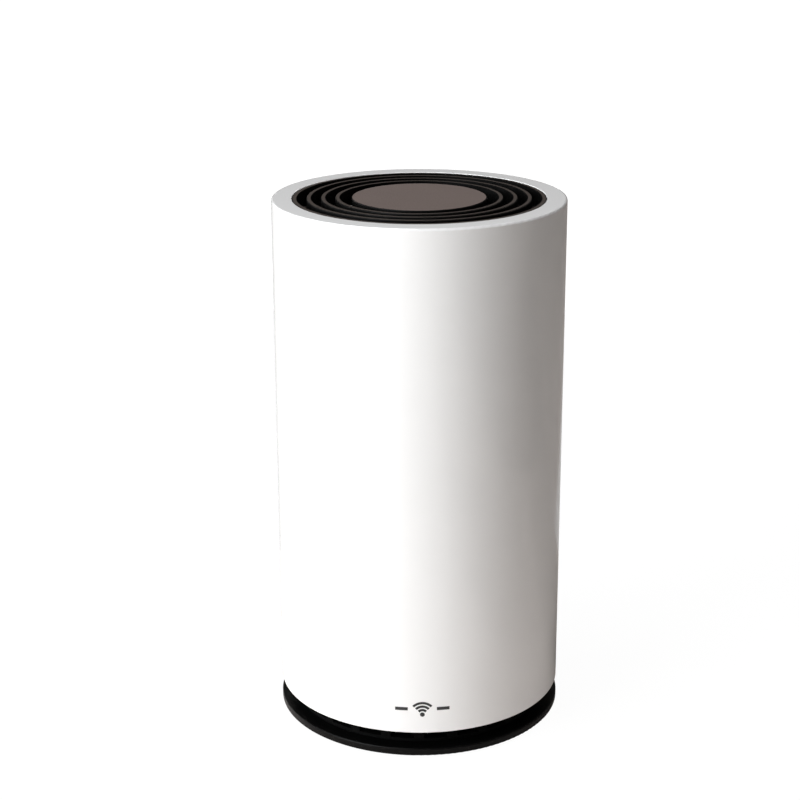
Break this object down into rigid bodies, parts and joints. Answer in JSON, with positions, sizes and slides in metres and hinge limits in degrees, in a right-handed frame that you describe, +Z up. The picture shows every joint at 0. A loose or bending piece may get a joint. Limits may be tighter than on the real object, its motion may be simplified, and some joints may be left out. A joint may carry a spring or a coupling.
{
  "type": "mesh wifi node",
  "caption": "Upright white cylindrical mesh wifi node with a concentric-ring top grille, a recessed black base and a rear recess of network, power and data sockets.",
  "frame": {"origin": "centre of the foot ring's underside, on the surface the node stands on", "axes": "+Z up along the cylinder, front (marked side) towards -Y, rear socket recess towards +Y"},
  "size_m": [0.1102, 0.1102, 0.2034],
  "materials": {
    "white_shell": "satin gloss",
    "taupe_grille": "satin",
    "taupe_cap": "satin",
    "black_base": "satin",
    "foot_rubber": "matt",
    "label_film": "matt",
    "black_neck": "matt",
    "screw_steel": "zinc plated",
    "frame_plastic": "matt",
    "panel_plastic": "fine texture",
    "wan_plastic": "matt",
    "jack_plastic": "matt",
    "contact_gold": "gilded",
    "clear_guide": "clear",
    "socket_steel": "nickel plated",
    "usb_plastic": "matt",
    "inlet_plastic": "matt",
    "pin_steel": "nickel plated",
    "button_plastic": "satin",
    "switch_plastic": "matt",
    "board_laminate": "solder resist",
    "shield_tin": "tin plated",
    "chip_epoxy": "matt",
    "thermal_pad": "matt",
    "sink_aluminium": "black anodised",
    "capacitor_can": "printed sleeve",
    "antenna_metal": "bright",
    "lead_jacket": "satin",
    "ribbon_film": "film"
  },
  "bodies": {
    "housing": {"antenna_1": "antenna_metal", "antenna_2": "antenna_metal", "antenna_3": "antenna_metal", "antenna_4": "antenna_metal", "antenna_5": "antenna_metal", "antenna_6": "antenna_metal", "antenna_connectors": "contact_gold", "antenna_lead_1": "lead_jacket", "antenna_lead_2": "lead_jacket", "antenna_lead_3": "lead_jacket", "antenna_lead_4": "lead_jacket", "antenna_lead_5": "lead_jacket", "antenna_lead_6": "lead_jacket", "base_pedestal": "black_neck", "base_plate": "black_base", "base_screws": "screw_steel", "board_screws": "screw_steel", "capacitors": "capacitor_can", "foot_ring": "foot_rubber", "grille_cap": "taupe_cap", "grille_screws": "screw_steel", "heatsink_left": "sink_aluminium", "heatsink_right": "sink_aluminium", "heatsink_screws": "screw_steel", "high_band_radio_shield": "shield_tin", "inner_frame": "frame_plastic", "io_panel": "panel_plastic", "jack_contacts": "contact_gold", "lan_jack_1": "jack_plastic", "lan_jack_2": "jack_plastic", "lan_jack_3": "jack_plastic", "low_band_radio_shield": "shield_tin", "main_board": "board_laminate", "memory_chips": "chip_epoxy", "network_transformers": "chip_epoxy", "outer_sleeve": "white_shell", "pairing_switch": "switch_plastic", "panel_screws": "screw_steel", "port_light_pipe": "clear_guide", "power_inlet": "inlet_plastic", "power_inlet_pin": "pin_steel", "power_switch": "switch_plastic", "processor_shield": "shield_tin", "rating_label": "label_film", "reset_switch": "switch_plastic", "shielded_chips": "chip_epoxy", "status_board": "board_laminate", "status_board_screws": "screw_steel", "status_light_guide": "clear_guide", "status_ribbon": "ribbon_film", "status_ribbon_connector": "usb_plastic", "thermal_pads": "thermal_pad", "top_grille": "taupe_grille", "usb_insulator": "usb_plastic", "usb_socket": "socket_steel", "wan_jack": "wan_plastic"},
    "power_button": {"power_button": "button_plastic"},
    "pairing_button": {"pairing_button": "button_plastic"},
    "reset_button": {"reset_button": "switch_plastic"}
  },
  "joints": [
    {"name": "power_button_push", "type": "slide", "parent": "housing", "child": "power_button", "axis": [0, -1, 0], "range_m": [0, 0.002], "stiffness_N_per_m": 700},
    {"name": "pairing_button_push", "type": "slide", "parent": "housing", "child": "pairing_button", "axis": [0, -1, 0], "range_m": [0, 0.0006], "stiffness_N_per_m": 1500},
    {"name": "reset_button_push", "type": "slide", "parent": "housing", "child": "reset_button", "axis": [0, -1, 0], "range_m": [0, 0.0004], "stiffness_N_per_m": 2000}
  ]
}
